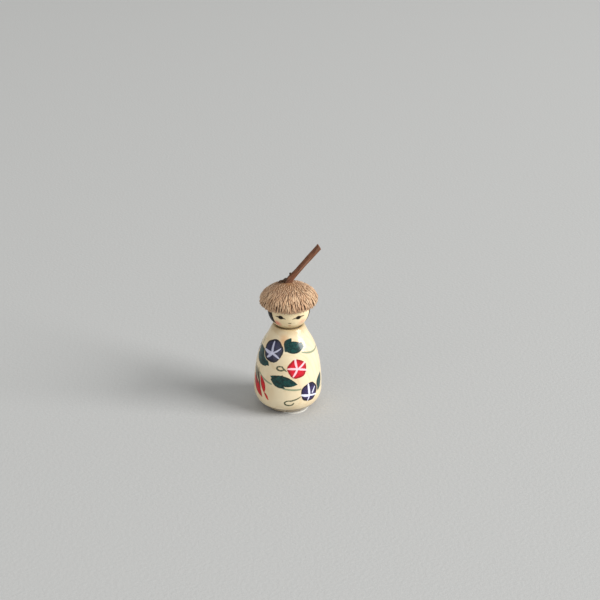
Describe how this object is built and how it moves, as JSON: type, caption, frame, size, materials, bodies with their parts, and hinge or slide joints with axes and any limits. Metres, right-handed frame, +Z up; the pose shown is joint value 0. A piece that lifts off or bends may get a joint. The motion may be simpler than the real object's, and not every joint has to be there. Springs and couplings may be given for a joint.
{
  "type": "kokeshi doll",
  "caption": "Small turned-wood kokeshi doll painted with morning glories, its turning head capped with an acorn cup and stalk.",
  "frame": {"origin": "on the body's turning axis, at the height of the surface that the doll stands on", "axes": "+Z up along the turning axis, -Y the way the face looks, +X to the viewer's right, the side that the stalk leans to"},
  "size_m": [0.0216, 0.0216, 0.0548],
  "materials": {
    "body_wood": "turned, painted by hand and clear lacquered",
    "head_wood": "turned, painted by hand and clear lacquered",
    "acorn_cup": "natural, dry and matte, with small overlapping scales",
    "stalk_wood": "natural, dry, ridged along its length",
    "glue": "set wood glue",
    "paper_disc": "matte, self-adhesive"
  },
  "bodies": {
    "torso": {"body": "body_wood", "base_disc": "paper_disc"},
    "head_and_hat": {"head": "head_wood", "acorn_cup": "acorn_cup", "stalk": "stalk_wood", "glue_pad": "glue"}
  },
  "joints": [
    {"name": "head_turn", "type": "hinge", "parent": "torso", "child": "head_and_hat", "pos_m": [0, 0, 0.025], "axis": [0, 0, 1], "continuous": true}
  ]
}
